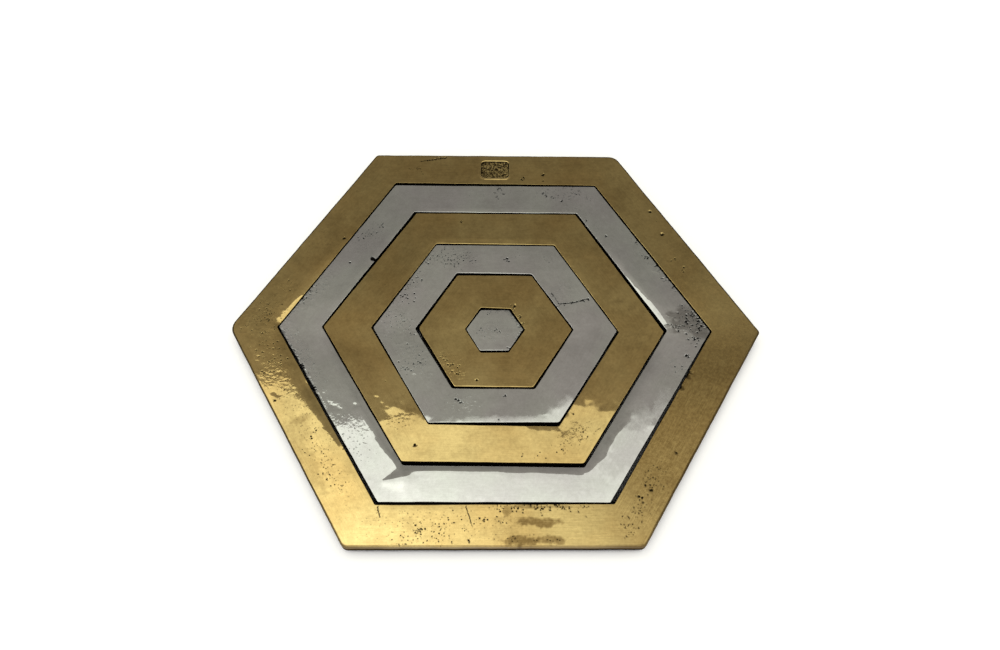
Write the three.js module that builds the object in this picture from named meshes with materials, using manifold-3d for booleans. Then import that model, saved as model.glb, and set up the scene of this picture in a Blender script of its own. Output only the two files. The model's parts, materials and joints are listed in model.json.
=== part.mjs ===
// Table mat of six nested hexagonal castings, brass and aluminium in turn.
// Each casting lies loose inside the next one out and stands on cork feet of its own,
// so every one of them lifts straight out of the set.
// Millimetres, +Z up. The origin is the middle of the mat on the table top,
// +X points at a corner of the mat and +Y at a flat side.
import * as THREE from "three";
import { mergeVertices } from "three/addons/utils/BufferGeometryUtils.js";
import Module from "manifold-3d";

// Castings in plan, from the middle outwards: together they measure 200 across the flats
const TILE_ACROSS_FLATS = 21.4;
const BRASS_INNER_WIDTH = 17.2;
const ALUMINIUM_INNER_WIDTH = 16.5;
const BRASS_MIDDLE_WIDTH = 17.0;
const ALUMINIUM_OUTER_WIDTH = 16.4;
const BRASS_OUTER_WIDTH = 18.2;
const NESTING_GAP = 0.8;
const NESTED_CORNER_RADIUS = 1.2;
const RIM_CORNER_RADIUS = 3;

// Castings in section: the walls draw in towards the underside, as they left the sand
const CASTING_THICKNESS = 5;
const DRAFT_DEGREES = 5;
const TOP_EDGE_RADIUS = 0.8;
const BOTTOM_EDGE_CHAMFER = 0.4;

// Sunken panel in the top of the outer ring, in the middle of its +Y leg
const PANEL_LENGTH = 14;
const PANEL_BORDER = 3.8;
const PANEL_DEPTH = 0.6;
const PANEL_CORNER_RADIUS = 2.5;

// Cork feet, glued to the undersides
const FOOT_THICKNESS = 2;
const RING_FOOT_DIAMETER = 10;
const TILE_FOOT_DIAMETER = 16;
const FOOT_EDGE_CHAMFER = 0.3;

// Fineness of the round stretches
const CORNER_STEPS = 4;
const EDGE_STEPS = 4;
const FOOT_SIDES = 24;

const SIDES = 6;
const HALF_SIDE_ANGLE = Math.PI / SIDES;

const brass = new THREE.MeshStandardMaterial({ color: 0xb8965a, metalness: 1, roughness: 0.25 });
const aluminium = new THREE.MeshStandardMaterial({ color: 0xb4b2b0, metalness: 1, roughness: 0.25 });
const cork = new THREE.MeshStandardMaterial({ color: 0xa87b4f, metalness: 0, roughness: 0.9 });

const wasm = await Module();
wasm.setup();

// A hexagon with rounded corners, counter-clockwise, one corner on +X.
// The apothem is half the distance across its flats.
function hexagonOutline(apothem, cornerRadius, height) {
  const arcCentre = (apothem - cornerRadius) / Math.cos(HALF_SIDE_ANGLE);
  const points = [];
  for (let corner = 0; corner < SIDES; corner++) {
    const middle = 2 * HALF_SIDE_ANGLE * corner;
    for (let step = 0; step <= CORNER_STEPS; step++) {
      const turn = middle + HALF_SIDE_ANGLE * ((2 * step) / CORNER_STEPS - 1);
      const x = arcCentre * Math.cos(middle) + cornerRadius * Math.cos(turn);
      const y = arcCentre * Math.sin(middle) + cornerRadius * Math.sin(turn);
      points.push(new THREE.Vector3(x, y, height));
    }
  }
  return points;
}

// A casting's wall from the underside up to the top face. The inset is how far it
// stands back into the metal from the wall's widest line, just below the top edge.
function wallSection() {
  const widestHeight = CASTING_THICKNESS - TOP_EDGE_RADIUS;
  const drawnIn = (widestHeight - BOTTOM_EDGE_CHAMFER) * Math.tan(THREE.MathUtils.degToRad(DRAFT_DEGREES));
  const section = [
    { inset: drawnIn + BOTTOM_EDGE_CHAMFER, height: 0 },
    { inset: drawnIn, height: BOTTOM_EDGE_CHAMFER },
  ];
  for (let step = 0; step <= EDGE_STEPS; step++) {
    const turn = ((Math.PI / 2) * step) / EDGE_STEPS;
    section.push({
      inset: TOP_EDGE_RADIUS * (1 - Math.cos(turn)),
      height: widestHeight + TOP_EDGE_RADIUS * Math.sin(turn),
    });
  }
  return section;
}

// A closed surface through a row of outlines that have equally many points. The last
// outline joins the first one again, or else both ends are capped flat.
function loft(outlines, joinsUp) {
  const perOutline = outlines[0].length;
  const index = [];
  const bands = joinsUp ? outlines.length : outlines.length - 1;
  for (let band = 0; band < bands; band++) {
    const here = band * perOutline;
    const there = ((band + 1) % outlines.length) * perOutline;
    for (let point = 0; point < perOutline; point++) {
      const next = (point + 1) % perOutline;
      index.push(here + point, here + next, there + next);
      index.push(here + point, there + next, there + point);
    }
  }
  if (!joinsUp) {
    const top = (outlines.length - 1) * perOutline;
    for (let point = 1; point < perOutline - 1; point++) {
      index.push(0, point + 1, point);
      index.push(top, top + point, top + point + 1);
    }
  }
  const geometry = new THREE.BufferGeometry().setFromPoints(outlines.flat());
  geometry.setIndex(index);
  return geometry;
}

// A casting that fills a hexagon, with a hexagonal hole through it unless holeApothem is 0.
function castingGeometry({ apothem, cornerRadius, holeApothem, holeCornerRadius }) {
  const wall = wallSection();
  const outside = wall.map(({ inset, height }) => hexagonOutline(apothem - inset, cornerRadius, height));
  if (holeApothem === 0) return loft(outside, false);
  const inside = wall.map(({ inset, height }) => hexagonOutline(holeApothem + inset, holeCornerRadius, height));
  return loft([...outside, ...inside.reverse()], true);
}

function solidOf(geometry) {
  const bare = geometry.clone();
  bare.deleteAttribute("normal");
  bare.deleteAttribute("uv");
  const merged = mergeVertices(bare);
  const vertProperties = new Float32Array(merged.attributes.position.array);
  const triVerts = new Uint32Array(merged.index.array);
  return new wasm.Manifold(new wasm.Mesh({ numProp: 3, vertProperties, triVerts }));
}

function geometryOf(solid) {
  const { vertProperties, triVerts } = solid.getMesh();
  const geometry = new THREE.BufferGeometry();
  geometry.setAttribute("position", new THREE.BufferAttribute(vertProperties, 3));
  geometry.setIndex(new THREE.BufferAttribute(triVerts, 1));
  return geometry;
}

// The hollow of the sunken panel, open at the top, centred on the leg of the outer ring.
function panelHollow({ apothem, holeApothem }) {
  const halfLength = PANEL_LENGTH / 2;
  const halfWidth = (apothem - holeApothem) / 2 - PANEL_BORDER;
  const across = halfLength - PANEL_CORNER_RADIUS;
  const along = halfWidth - PANEL_CORNER_RADIUS;
  const quarter = Math.PI / 2;
  const outline = new THREE.Shape();
  outline.absarc(across, along, PANEL_CORNER_RADIUS, 0, quarter);
  outline.absarc(-across, along, PANEL_CORNER_RADIUS, quarter, 2 * quarter);
  outline.absarc(-across, -along, PANEL_CORNER_RADIUS, 2 * quarter, 3 * quarter);
  outline.absarc(across, -along, PANEL_CORNER_RADIUS, 3 * quarter, 4 * quarter);
  const hollow = new THREE.ExtrudeGeometry(outline, {
    depth: 2 * PANEL_DEPTH,
    bevelEnabled: false,
    curveSegments: CORNER_STEPS,
  });
  return hollow.translate(0, (apothem + holeApothem) / 2, CASTING_THICKNESS - PANEL_DEPTH);
}

function footGeometry(diameter) {
  const radius = diameter / 2;
  const profile = [
    new THREE.Vector2(0, 0),
    new THREE.Vector2(radius - FOOT_EDGE_CHAMFER, 0),
    new THREE.Vector2(radius, FOOT_EDGE_CHAMFER),
    new THREE.Vector2(radius, FOOT_THICKNESS),
    new THREE.Vector2(0, FOOT_THICKNESS),
  ];
  return new THREE.LatheGeometry(profile, FOOT_SIDES).rotateX(Math.PI / 2);
}

function addMesh(group, name, geometry, material) {
  const mesh = new THREE.Mesh(geometry, material);
  mesh.name = name;
  group.add(mesh);
  return mesh;
}

// The plan of the set: each ring's hole is the casting inside it plus the nesting gap all round.
function planOfRings() {
  const fromTheMiddle = [
    { name: "brass_inner_ring", material: brass, width: BRASS_INNER_WIDTH },
    { name: "aluminium_inner_ring", material: aluminium, width: ALUMINIUM_INNER_WIDTH },
    { name: "brass_middle_ring", material: brass, width: BRASS_MIDDLE_WIDTH },
    { name: "aluminium_outer_ring", material: aluminium, width: ALUMINIUM_OUTER_WIDTH },
    { name: "brass_outer_ring", material: brass, width: BRASS_OUTER_WIDTH },
  ];
  let filled = TILE_ACROSS_FLATS / 2;
  return fromTheMiddle.map(({ name, material, width }, place) => {
    const outermost = place === fromTheMiddle.length - 1;
    const holeApothem = filled + NESTING_GAP;
    filled = holeApothem + width;
    return {
      name,
      material,
      outermost,
      apothem: filled,
      cornerRadius: outermost ? RIM_CORNER_RADIUS : NESTED_CORNER_RADIUS,
      holeApothem,
      holeCornerRadius: NESTED_CORNER_RADIUS + NESTING_GAP,
    };
  });
}

// A ring with one foot under each of its corners.
function buildRing(ring) {
  const group = new THREE.Group();
  const casting = castingGeometry(ring);
  const geometry = ring.outermost
    ? geometryOf(solidOf(casting).subtract(solidOf(panelHollow(ring))))
    : casting;
  addMesh(group, ring.name, geometry, ring.material).position.z = FOOT_THICKNESS;
  const footDistance = (ring.apothem + ring.holeApothem) / 2 / Math.cos(HALF_SIDE_ANGLE);
  for (let corner = 0; corner < SIDES; corner++) {
    const angle = 2 * HALF_SIDE_ANGLE * corner;
    const foot = addMesh(group, `${ring.name}_foot_${corner + 1}`, footGeometry(RING_FOOT_DIAMETER), cork);
    foot.position.set(footDistance * Math.cos(angle), footDistance * Math.sin(angle), 0);
  }
  return group;
}

// The tile in the middle of the set, on a single foot.
function buildTile() {
  const group = new THREE.Group();
  const casting = castingGeometry({
    apothem: TILE_ACROSS_FLATS / 2,
    cornerRadius: NESTED_CORNER_RADIUS,
    holeApothem: 0,
  });
  addMesh(group, "aluminium_centre_tile", casting, aluminium).position.z = FOOT_THICKNESS;
  addMesh(group, "aluminium_centre_tile_foot", footGeometry(TILE_FOOT_DIAMETER), cork);
  return group;
}

const tableMat = new THREE.Group();
tableMat.add(buildTile());
for (const ring of planOfRings()) tableMat.add(buildRing(ring));

export default tableMat;
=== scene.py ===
import json
import math
import random
from types import SimpleNamespace

import bmesh
import bpy
from mathutils import Matrix, Vector, noise
from mathutils.kdtree import KDTree


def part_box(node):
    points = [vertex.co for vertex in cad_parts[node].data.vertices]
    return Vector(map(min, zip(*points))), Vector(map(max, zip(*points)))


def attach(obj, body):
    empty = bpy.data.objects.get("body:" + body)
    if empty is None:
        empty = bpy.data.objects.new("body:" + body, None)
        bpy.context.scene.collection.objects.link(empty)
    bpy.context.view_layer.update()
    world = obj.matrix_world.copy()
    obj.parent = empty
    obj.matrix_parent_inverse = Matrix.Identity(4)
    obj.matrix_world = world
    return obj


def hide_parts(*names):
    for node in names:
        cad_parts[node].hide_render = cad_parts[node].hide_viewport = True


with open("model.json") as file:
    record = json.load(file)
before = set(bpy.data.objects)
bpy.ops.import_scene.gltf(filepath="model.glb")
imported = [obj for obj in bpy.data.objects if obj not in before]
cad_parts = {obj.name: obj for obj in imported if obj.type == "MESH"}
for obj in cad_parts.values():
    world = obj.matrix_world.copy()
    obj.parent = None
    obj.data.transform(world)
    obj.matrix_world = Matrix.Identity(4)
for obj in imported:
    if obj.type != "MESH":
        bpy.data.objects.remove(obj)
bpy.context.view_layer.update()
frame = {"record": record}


# Camera: held by hand above the near side of the table, a little left of the mat's middle and
# slightly rolled, looking down on the polished tops.
MM = 0.001
looked_at = Vector((2.5, 2.2, 7.0)) * MM
viewing_distance = 467.6 * MM
looking_down = math.radians(57.3)
turned_left = math.radians(-1.2)
rolled = math.radians(1.51)

camera_data = bpy.data.cameras.new("photo_camera")
camera_data.sensor_width = 36.0
camera_data.lens = 38.62
camera = bpy.data.objects.new("photo_camera", camera_data)
bpy.context.scene.collection.objects.link(camera)
aimed = Matrix.Rotation(turned_left, 4, "Z") @ Matrix.Rotation(math.pi / 2 - looking_down, 4, "X")
held = aimed @ Matrix.Rotation(rolled, 4, "Z") @ Matrix.Translation((0, 0, viewing_distance))
camera.matrix_world = Matrix.Translation(looked_at) @ held
bpy.context.scene.camera = camera
bpy.context.scene.view_settings.view_transform = "Standard"


# Outer brass ring: sand cast in one piece, its top ground flat and polished by hand, its walls and
# underside left as they came out of the sand. It lies on the table around all the other castings
# and has a sunken panel, left bare, in the middle of its far leg.
SIXTH = math.radians(60)
COS_30 = math.cos(SIXTH / 2)

# Every casting is worked in mm until it is set down
NESTING_GAP = 0.8
DRAFT = math.tan(math.radians(5))
BOTTOM_CHAMFER = 0.4
LIP_SEGMENTS = 6
LIP_BORDER = 0.08
WALL_CUTS = 4
POLISH_SPACING = 0.6

# Height and length of the waves that polishing by hand leaves
POLISH_WAVES = ((0.03, 22), (0.013, 5.5), (0.005, 2.2))
# The grime mark holds dirt in pits, crumbs and the panel, and also painted shade on walls by the gaps and at
# the rim's foot
MARKS = ("satin", "stain", "porous", "skin", "grime_and_shade")


def ease(low, high, value):
    """0 up to low, 1 from high on and a smooth rise between them."""
    share = min(1.0, max(0.0, (value - low) / (high - low)))
    return share * share * (3 - 2 * share)


def clamped(value):
    """The value, but at least 0 and at most 1."""
    return min(1, max(0, value))


def blended(values, turn, low, high):
    """One of six values set round the hexagon, eased into the next between these shares of the way."""
    before = int(turn)
    share = ease(low, high, turn - before)
    return values[before % 6] * (1 - share) + values[(before + 1) % 6] * share


def at_corners(values, point):
    """A value set at each corner of the hexagon, counter-clockwise from +X, and eased along the legs."""
    return blended(values, math.atan2(point.y, point.x) / SIXTH % 6, 0, 1)


def at_sides(values, point):
    """A value set for each side, counter-clockwise from the far right one, that changes near the corners."""
    return blended(values, (math.atan2(point.y, point.x) / SIXTH - 0.5) % 6, 0.25, 0.75)


def off_leg_middle(point):
    """The angle from the middle of a leg to a point on it, seen from the mat's middle."""
    return math.atan2(point.y, point.x) % SIXTH - SIXTH / 2


def across_leg(point):
    """How far a point lies from the mat's middle, measured square to the leg that it is on."""
    return math.hypot(point.x, point.y) * math.cos(off_leg_middle(point))


def across_leg_softly(point):
    """The same distance, with its lines rounded off where they turn at the corners."""
    off = abs(off_leg_middle(point))
    reach = math.hypot(point.x, point.y)
    nearest, next_leg = reach * math.cos(off), reach * math.cos(SIXTH - off)
    sharpness = 24
    return nearest * (1 + (next_leg / max(nearest, 0.001)) ** sharpness) ** (1 / sharpness)


def hole_around(node):
    """Half the width of a hole that leaves the nesting gap all round this casting."""
    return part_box(node)[1].y / MM + NESTING_GAP


def spin_round(bm, steps, join_within):
    """Spins a section once round the upright axis and joins it up."""
    section = bm.verts[:] + bm.edges[:]
    bmesh.ops.spin(bm, geom=section, axis=(0, 0, 1), angle=math.tau, steps=steps, use_merge=True)
    bmesh.ops.remove_doubles(bm, verts=bm.verts[:], dist=join_within)
    bmesh.ops.recalc_face_normals(bm, faces=bm.faces[:])


def pour(node, hole, hole_lip, rim_lip):
    """A casting as poured, in mm: its section is drawn, rounded at the lips and spun round the hexagon."""
    low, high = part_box(node)
    outside, underside, top = high.y / MM, low.z / MM, high.z / MM
    drawn_in = (top - underside) * DRAFT
    same_place = 0.001
    lowest_wall = 2
    bm = bmesh.new()
    hole_foot = bm.verts.new((hole + drawn_in if hole else 0, 0, underside))
    rim_foot = bm.verts.new((outside - drawn_in, 0, underside))
    rim = bm.verts.new((outside, 0, top))
    hole_edge = bm.verts.new((hole, 0, top))
    bm.faces.new((hole_foot, rim_foot, rim, hole_edge))
    rounded = [(rim, rim_lip, LIP_SEGMENTS), (rim_foot, BOTTOM_CHAMFER, 1)]
    if hole:
        rounded += [(hole_edge, hole_lip, LIP_SEGMENTS), (hole_foot, BOTTOM_CHAMFER, 1)]
    for corner, size, segments in rounded:
        bmesh.ops.bevel(
            bm, geom=[corner], offset=size, segments=segments, profile=0.5, affect="VERTICES", material=-1
        )
    bmesh.ops.delete(bm, geom=bm.faces[:], context="FACES_ONLY")
    if not hole:
        axis = [edge for edge in bm.edges if all(vert.co.x < same_place for vert in edge.verts)]
        bmesh.ops.delete(bm, geom=axis, context="EDGES")
    level = [edge for edge in bm.edges if all(vert.co.z > top - same_place for vert in edge.verts)]
    bmesh.ops.subdivide_edges(bm, edges=level, cuts=round((outside - hole) / POLISH_SPACING))
    flat = [vert for vert in bm.verts if vert.co.z > top - same_place]
    flat.sort(key=lambda vert: vert.co.x)
    flat[-2].co.x = flat[-1].co.x - LIP_BORDER
    if hole:
        flat[1].co.x = flat[0].co.x + LIP_BORDER
    walls = [edge for edge in bm.edges if abs(edge.verts[0].co.z - edge.verts[1].co.z) > lowest_wall]
    bmesh.ops.subdivide_edges(bm, edges=walls, cuts=WALL_CUTS)
    bmesh.ops.scale(bm, vec=(1 / COS_30, 1, 1), verts=bm.verts[:])
    spin_round(bm, steps=6, join_within=0.0001)
    legs = []
    for edge in bm.edges:
        middle = (edge.verts[0].co + edge.verts[1].co) / 2
        if abs(off_leg_middle(middle)) < 0.1:
            legs.append(edge)
    bmesh.ops.subdivide_edges(bm, edges=legs, cuts=round(outside / COS_30 / POLISH_SPACING))
    marks = {name: bm.verts.layers.float.new(name) for name in MARKS}
    return SimpleNamespace(
        mesh=bm, marks=marks, hole=hole, outside=outside, underside=underside, top=top,
        hole_lip=hole_lip, rim_lip=rim_lip,
    )


def refine(casting, is_fine):
    """Cuts the top faces finer where is_fine says so, for marks smaller than the polish's waves."""
    edges = set()
    for face in casting.mesh.faces:
        middle = face.calc_center_median()
        if middle.z > casting.top - 0.5 and is_fine(middle):
            edges.update(face.edges)
    bmesh.ops.subdivide_edges(casting.mesh, edges=list(edges), cuts=2, use_grid_fill=True)


def leave_skin(casting, rim_wall_shade=1.0):
    """Marks what polishing never reached: the walls and the underside. The walls are also painted dark as
    shade, fully where they face a gap and by the given share at the rim.
    """
    skin, grime_and_shade = casting.marks["skin"], casting.marks["grime_and_shade"]
    middle = (casting.hole + casting.outside) / 2
    for vert in casting.mesh.verts:
        at_rim = not casting.hole or across_leg(vert.co) > middle
        lip = casting.rim_lip if at_rim else casting.hole_lip
        below_top = casting.top - vert.co.z
        unreached = ease(0.1 * lip, 0.45 * lip, below_top)
        vert[skin] = unreached
        # Painted shade: the walls go black above their lowest mm, as if in the shade of the gaps
        gap_wall_shade = unreached * ease(0.1, 1.2, vert.co.z - casting.underside)
        vert[grime_and_shade] = gap_wall_shade * (rim_wall_shade if at_rim else 1.0)


def sharpen_lips(casting, hole_lips, rim_lips):
    """Draws the poured lips in to the radius that each side's edge was left with."""
    for vert in casting.mesh.verts:
        out = across_leg(vert.co)
        below_top = casting.top - vert.co.z
        edges = (casting.hole, casting.hole_lip, hole_lips), (casting.outside, casting.rim_lip, rim_lips)
        for edge, poured, lips in edges:
            if below_top < 1.01 * poured and abs(out - edge) < poured + 1.5 * LIP_BORDER:
                share = at_sides(lips, vert.co) / poured
                vert.co.z = casting.top - share * below_top
                vert.co.xy = vert.co.xy * ((edge + share * (out - edge)) / out)


def round_corners(casting, hole_radius, rim_radii):
    """The pattern's corners, rounded alike in the hole and each by its own radius at the rim."""
    for vert in casting.mesh.verts:
        reach = math.hypot(vert.co.x, vert.co.y)
        turn = math.atan2(vert.co.y, vert.co.x) / SIXTH
        off_corner = abs(turn - round(turn)) * SIXTH
        out = across_leg(vert.co)
        share = (out - casting.hole) / (casting.outside - casting.hole)
        radius = hole_radius + (rim_radii[round(turn) % 6] - hole_radius) * clamped(share)
        arc_middle = (out - radius) / COS_30
        if off_corner < math.atan2(radius / 2, arc_middle + radius * COS_30):
            beside = arc_middle * math.sin(off_corner)
            rounded = arc_middle * math.cos(off_corner) + math.sqrt(radius**2 - beside**2)
            vert.co.xy = vert.co.xy * (rounded / reach)


def shifted_corners(sides):
    """Where a hexagon's corners go when its sides move out by these amounts in mm, counter-clockwise from
    the far right one. A side that comes to slant has an amount for each of its ends."""
    ends = [side if isinstance(side, tuple) else (side, side) for side in sides]
    square_of_sin_60 = 0.75
    shifts = []
    for corner in range(6):
        before, after = ends[corner - 1][1], ends[corner][0]
        facing_before = Vector((math.cos((corner - 0.5) * SIXTH), math.sin((corner - 0.5) * SIXTH)))
        facing_after = Vector((math.cos((corner + 0.5) * SIXTH), math.sin((corner + 0.5) * SIXTH)))
        shift = facing_before * (before - after / 2) + facing_after * (after - before / 2)
        shifts.append(shift / square_of_sin_60)
    return shifts


def file_sides(casting, hole, rim, seed):
    """Moves the sides of hole and rim out to where they were filed until the set nested, and lets the
    edges wander as a hand does."""
    broad_wander, fine_wander = 0.12, 0.05
    hole_shifts, rim_shifts = shifted_corners(hole), shifted_corners(rim)
    for vert in casting.mesh.verts:
        out = across_leg(vert.co)
        if out < 1:
            continue
        turn = math.atan2(vert.co.y, vert.co.x) / SIXTH % 6
        leg = int(turn) % 6
        along = math.tan((turn - int(turn) - 0.5) * SIXTH) / math.tan(SIXTH / 2) / 2 + 0.5
        share = clamped((out - casting.hole) / (casting.outside - casting.hole))
        hole_shift = hole_shifts[leg].lerp(hole_shifts[(leg + 1) % 6], along)
        rim_shift = rim_shifts[leg].lerp(rim_shifts[(leg + 1) % 6], along)
        place = Vector((vert.co.x, vert.co.y, seed))
        wander = broad_wander * noise.noise(place / 11) + fine_wander * noise.noise(place / 2.5)
        vert.co.xy = vert.co.xy * (1 + wander / out) + hole_shift.lerp(rim_shift, share)


def polish(casting, seed, dish=(0,) * 6, hole_roll=None, rim_roll=None):
    """Wears the top: each leg leans in by its dish, in degrees, rolls over towards its edges and stays
    wavy. A roll is six depths and six widths, set at the corners."""
    thickness = casting.top - casting.underside
    for vert in casting.mesh.verts:
        out = across_leg_softly(vert.co)
        place = Vector((vert.co.x, vert.co.y, seed))
        worn = math.tan(math.radians(at_sides(dish, vert.co))) * (casting.outside - out)
        for roll, inward in ((hole_roll, out - casting.hole), (rim_roll, casting.outside - out)):
            if roll:
                depths, widths = roll
                width = at_corners(widths, vert.co) * (1 + 0.3 * noise.noise(place / 9))
                worn += at_corners(depths, vert.co) * clamped(1 - inward / width) ** 2
        for height, length in POLISH_WAVES:
            worn += height * noise.noise(place / length)
        vert.co.z -= worn * (vert.co.z - casting.underside) / thickness


def press_dents(casting, dents):
    """Presses soft dents into the top: start x, y, end x, y, reach at the start and end, and the depth where
    the reach is greatest, which is negative for a swelling. Where dents meet, the deeper one counts."""
    for vert in casting.mesh.verts:
        pressed = 0
        for start_x, start_y, end_x, end_y, start_reach, end_reach, depth in dents:
            long_x, long_y = end_x - start_x, end_y - start_y
            over_x, over_y = vert.co.x - start_x, vert.co.y - start_y
            share = clamped((over_x * long_x + over_y * long_y) / (long_x**2 + long_y**2))
            reach = start_reach + (end_reach - start_reach) * share
            away = math.hypot(over_x - share * long_x, over_y - share * long_y) / reach
            if away < 3:
                tapered = depth * reach / max(start_reach, end_reach)
                pressed = max(pressed, tapered * math.exp(-away * away), key=abs)
        vert.co.z -= pressed * ease(casting.underside, casting.top, vert.co.z)


def scattered(seed, clusters):
    """Casting pits as (x, y, radius) in mm around places where gas came up: x, y, reach, count, widest."""
    draw = random.Random(seed)
    pits = []
    for x, y, reach, count, widest in clusters:
        for _ in range(count):
            place = (draw.gauss(x, reach / 2), draw.gauss(y, reach / 2))
            pits.append((*place, widest / 2 * draw.uniform(0.4, 1.0)))
    return pits


def scratched(seed, lines):
    """Scratches as rows of small pits that wander: start x, y, end x, y and width of each."""
    draw = random.Random(seed)
    pits = []
    for start_x, start_y, end_x, end_y, width in lines:
        steps = round(math.hypot(end_x - start_x, end_y - start_y) / (0.5 * width))
        for step in range(steps + 1):
            x = start_x + (end_x - start_x) * step / steps + draw.gauss(0, 0.2 * width)
            y = start_y + (end_y - start_y) * step / steps + draw.gauss(0, 0.2 * width)
            pits.append((x, y, width * draw.uniform(0.3, 0.6)))
    return pits


def search_tree(places):
    """A tree that finds the nearest of these x, y places."""
    tree = KDTree(len(places))
    for index, (x, y) in enumerate(places):
        tree.insert((x, y, 0), index)
    tree.balance()
    return tree


def near_pits(pits):
    """A test of whether a point lies so near a pit that the mesh has to be fine there."""
    clearance = 0.8
    tree = search_tree([(x, y) for x, y, _ in pits])
    return lambda point: tree.find((point.x, point.y, 0))[2] < clearance


def sink_pits(casting, pits):
    """Sinks ragged, round-bottomed pits into the top, the widest by 0.6 of their radius and small ones by
    less, and fills them with dirt."""
    tops = [vert for vert in casting.mesh.verts if vert.co.z > casting.top - 1.5]
    grime_and_shade = casting.marks["grime_and_shade"]
    tree = search_tree([vert.co.xy for vert in tops])
    for x, y, radius in pits:
        for spot, index, distance in tree.find_range((x, y, 0), 2 * radius):
            away = distance / radius * (1 + 0.5 * noise.noise(spot / radius))
            tops[index].co.z -= 0.6 * ease(0.1, 0.5, radius) * radius * max(0, 1 - away**2)
            tops[index][grime_and_shade] = max(tops[index][grime_and_shade], ease(1.5, 0.8, away))


def mark_patches(casting, mark, seed, patches):
    """Marks ragged oval patches: x, y, half length, half width, turn in degrees and strength of each."""
    layer = casting.marks[mark]
    for x, y, half_length, half_width, turn, strength in patches:
        along, across = math.cos(math.radians(turn)), math.sin(math.radians(turn))
        furthest = 1.8 * max(half_length, half_width)
        for vert in casting.mesh.verts:
            right, up = vert.co.x - x, vert.co.y - y
            if abs(right) < furthest and abs(up) < furthest:
                place = Vector((vert.co.x, vert.co.y, seed))
                ragged = 0.5 * noise.noise(place / 3.5) + 0.35 * noise.noise(place / 1.2)
                lengthwise = (right * along + up * across) / half_length
                crosswise = (up * along - right * across) / half_width
                reach = math.hypot(lengthwise, crosswise) + ragged
                vert[layer] = max(vert[layer], strength * ease(1.25, 0.55, reach))


def make_piece(bm, name, material, crease):
    """Makes a finished mesh in mm an object in metres, smooth except where it turns by more than the crease,
    in degrees."""
    bmesh.ops.scale(bm, vec=(MM, MM, MM), verts=bm.verts[:])
    mesh = bpy.data.meshes.new(name)
    bm.to_mesh(mesh)
    bm.free()
    mesh.shade_smooth()
    mesh.set_sharp_from_angle(angle=math.radians(crease))
    mesh.materials.append(material)
    piece = bpy.data.objects.new(name, mesh)
    bpy.context.scene.collection.objects.link(piece)
    return piece


def set_down(casting, name, material):
    """Makes a piece of the finished casting, with a UV map in mm along and across its legs."""
    bm = casting.mesh
    leg_map = bm.loops.layers.uv.new("along_leg")
    for face in bm.faces:
        middle = face.calc_center_median()
        facing = (math.atan2(middle.y, middle.x) % math.tau // SIXTH + 0.5) * SIXTH
        for loop in face.loops:
            in_leg = Matrix.Rotation(-facing, 2) @ loop.vert.co.xy
            loop[leg_map].uv = (in_leg.y + 40 * facing, in_leg.x)
    return make_piece(bm, name, material, crease=38)


def linear(hex_colour):
    """An sRGB hex colour as the linear RGBA that shaders take."""
    shares = [int(hex_colour[i : i + 2], 16) / 255 for i in (1, 3, 5)]
    return [s / 12.92 if s <= 0.04045 else ((s + 0.055) / 1.055) ** 2.4 for s in shares] + [1.0]


def per(size_mm):
    """The texture scale that gives cells of this size on Object coordinates, which are in metres."""
    return 1 / (size_mm * MM)


def emptied_tree(owner):
    """The node tree of a material, lamp or world, with nothing in it."""
    owner.use_nodes = True
    owner.node_tree.nodes.clear()
    return owner.node_tree


def add(tree, kind, inputs=(), **settings):
    """Adds a node with its settings, and sets or links each of its inputs."""
    made = tree.nodes.new(kind)
    for name, value in settings.items():
        setattr(made, name, value)
    for socket, value in dict(inputs).items():
        if isinstance(value, bpy.types.NodeSocket):
            tree.links.new(value, made.inputs[socket])
        else:
            made.inputs[socket].default_value = value
    return made


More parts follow.
